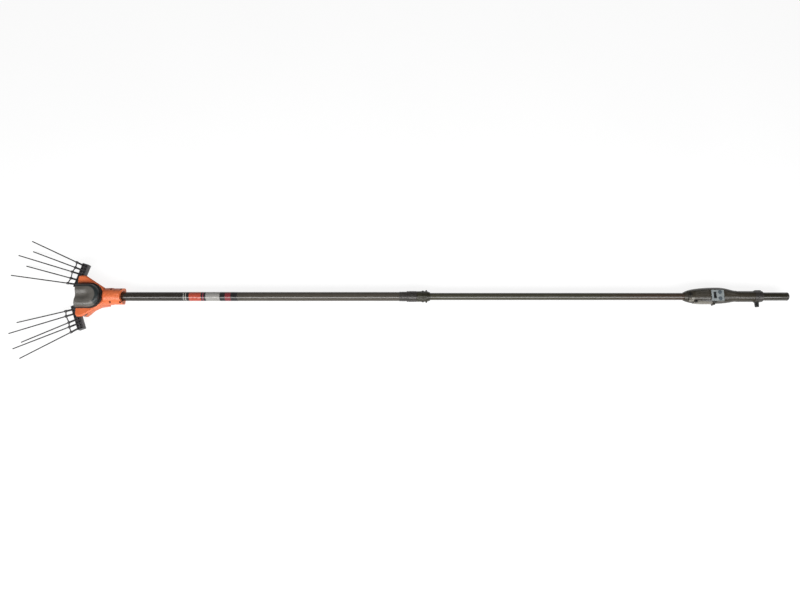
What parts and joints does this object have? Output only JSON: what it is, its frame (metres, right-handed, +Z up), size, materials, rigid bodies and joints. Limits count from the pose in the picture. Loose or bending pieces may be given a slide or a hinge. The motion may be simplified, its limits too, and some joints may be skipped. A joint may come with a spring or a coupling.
{
  "type": "telescopic olive harvester",
  "caption": "Pole-mounted battery fruit harvester: a gear head swings two opposed combs of long tines, on a telescopic pole with twist lock, finger lever handle and control panel.",
  "frame": {"origin": "under the middle of the tool's box, level with the head's flat underside", "axes": "+X along the pole from the combs to the tail, +Z up out of the motor cover and the control panel, +Y towards the right-hand comb"},
  "size_m": [2.9856, 0.4666, 0.082],
  "materials": {
    "orange_housing": "satin moulded",
    "cover_plastic": "satin moulded",
    "rubber_seal": "matt",
    "steel": "turned",
    "aluminium": "cast",
    "stator_copper": "laminated and wound",
    "bronze": "sintered",
    "comb_plastic": "fine grain",
    "tine_carbon": "pultruded carbon",
    "tube_dark": "satin anodised",
    "tube_bronze": "satin anodised",
    "sticker": "printed film",
    "fitting_plastic": "satin moulded",
    "handle_plastic": "soft grain",
    "panel_grey": "satin film",
    "switch_black": "satin",
    "lever_grey": "satin moulded",
    "board_green": "solder mask"
  },
  "bodies": {
    "head": {"head_lower_shell": "orange_housing", "head_upper_shell": "orange_housing", "motor_cover": "cover_plastic", "cover_seal": "rubber_seal", "housing_screws": "steel", "neck_screws": "steel", "motor_plate": "aluminium", "ball_bearings": "steel", "motor_stator": "stator_copper", "rocker_bushes": "bronze", "shaft_seals": "rubber_seal", "outer_tube": "tube_dark", "tube_sticker": "sticker", "lock_sleeve": "fitting_plastic", "lock_screw": "steel", "lock_collet": "fitting_plastic"},
    "rotor": {"motor_rotor": "steel", "drive_pinion": "steel"},
    "crank": {"crankshaft": "steel", "reduction_gear": "steel"},
    "rod_right": {"connecting_rod_right": "steel"},
    "rod_left": {"connecting_rod_left": "steel"},
    "comb_right": {"comb_carrier_right": "comb_plastic", "tine_sleeves_right": "comb_plastic", "comb_brace_right": "comb_plastic", "rocker_shaft_right": "steel", "tine_right_1": "tine_carbon", "tine_right_2": "tine_carbon", "tine_right_3": "tine_carbon", "tine_right_4": "tine_carbon", "tine_right_5": "tine_carbon"},
    "comb_left": {"comb_carrier_left": "comb_plastic", "tine_sleeves_left": "comb_plastic", "comb_brace_left": "comb_plastic", "rocker_shaft_left": "steel", "tine_left_1": "tine_carbon", "tine_left_2": "tine_carbon", "tine_left_3": "tine_carbon", "tine_left_4": "tine_carbon", "tine_left_5": "tine_carbon"},
    "lock_nut": {"lock_nut": "fitting_plastic"},
    "handle": {"inner_tube": "tube_bronze", "guide_bush": "fitting_plastic", "handle_lower_shell": "handle_plastic", "handle_upper_shell": "handle_plastic", "handle_screws": "steel", "control_panel": "panel_grey", "lever_pin": "steel", "lever_spring": "steel", "micro_switch": "switch_black", "circuit_board": "board_green", "rear_sleeve": "handle_plastic", "rear_collar": "fitting_plastic", "inlet_connector": "switch_black", "tail_tube": "tube_dark", "end_cap": "fitting_plastic"},
    "lever": {"finger_lever": "lever_grey"},
    "rocker_key": {"speed_rocker": "switch_black"},
    "button_right": {"button_right": "switch_black"},
    "button_left": {"button_left": "switch_black"}
  },
  "joints": [
    {"name": "crank_spin", "type": "hinge", "parent": "head", "child": "crank", "pos_m": [-1.16416, 0, 0.02], "axis": [0, 0, 1], "continuous": true},
    {"name": "motor_spin", "type": "hinge", "parent": "head", "child": "rotor", "pos_m": [-1.19416, 0, 0.05], "axis": [0, 0, 1], "continuous": true},
    {"name": "rod_right_turn", "type": "hinge", "parent": "crank", "child": "rod_right", "pos_m": [-1.16143, 0.00477, 0.0095], "axis": [0, 0, 1], "continuous": true},
    {"name": "rod_left_turn", "type": "hinge", "parent": "crank", "child": "rod_left", "pos_m": [-1.16689, 0.00477, 0.0156], "axis": [0, 0, 1], "continuous": true},
    {"name": "comb_right_swing", "type": "hinge", "parent": "head", "child": "comb_right", "pos_m": [-1.22016, 0.062, 0.04], "axis": [0, 0, 1], "range_deg": [-10, 10]},
    {"name": "comb_left_swing", "type": "hinge", "parent": "head", "child": "comb_left", "pos_m": [-1.22016, -0.062, 0.04], "axis": [0, 0, 1], "range_deg": [-10, 10]},
    {"name": "lock_nut_turn", "type": "hinge", "parent": "head", "child": "lock_nut", "pos_m": [0.08784, 0, 0.04], "axis": [1, 0, 0], "range_deg": [0, 150]},
    {"name": "telescope_slide", "type": "slide", "parent": "head", "child": "handle", "axis": [1, 0, 0], "range_m": [-0.8, 0]},
    {"name": "lever_press", "type": "hinge", "parent": "handle", "child": "lever", "pos_m": [1.13284, -0.0205, 0.04], "axis": [0, 0, 1], "range_deg": [0, 5], "stiffness_Nm_per_rad": 1.2, "springref_deg": -6.88},
    {"name": "speed_rocker_tilt", "type": "hinge", "parent": "handle", "child": "rocker_key", "pos_m": [1.20134, 0, 0.0625], "axis": [1, 0, 0], "range_deg": [-5, 5], "stiffness_Nm_per_rad": 0.05},
    {"name": "button_right_press", "type": "slide", "parent": "handle", "child": "button_right", "axis": [0, 0, -1], "range_m": [0, 0.0015], "stiffness_N_per_m": 900, "springref_m": -0.001},
    {"name": "button_left_press", "type": "slide", "parent": "handle", "child": "button_left", "axis": [0, 0, -1], "range_m": [0, 0.0015], "stiffness_N_per_m": 900, "springref_m": -0.001}
  ],
  "couplings": [
    {"joint": "motor_spin", "follows": "crank_spin", "ratio": -4},
    {"joint": "rod_right_turn", "follows": "crank_spin", "ratio": -1},
    {"joint": "rod_left_turn", "follows": "crank_spin", "ratio": -1},
    {"joint": "comb_left_swing", "follows": "comb_right_swing", "ratio": -1}
  ]
}
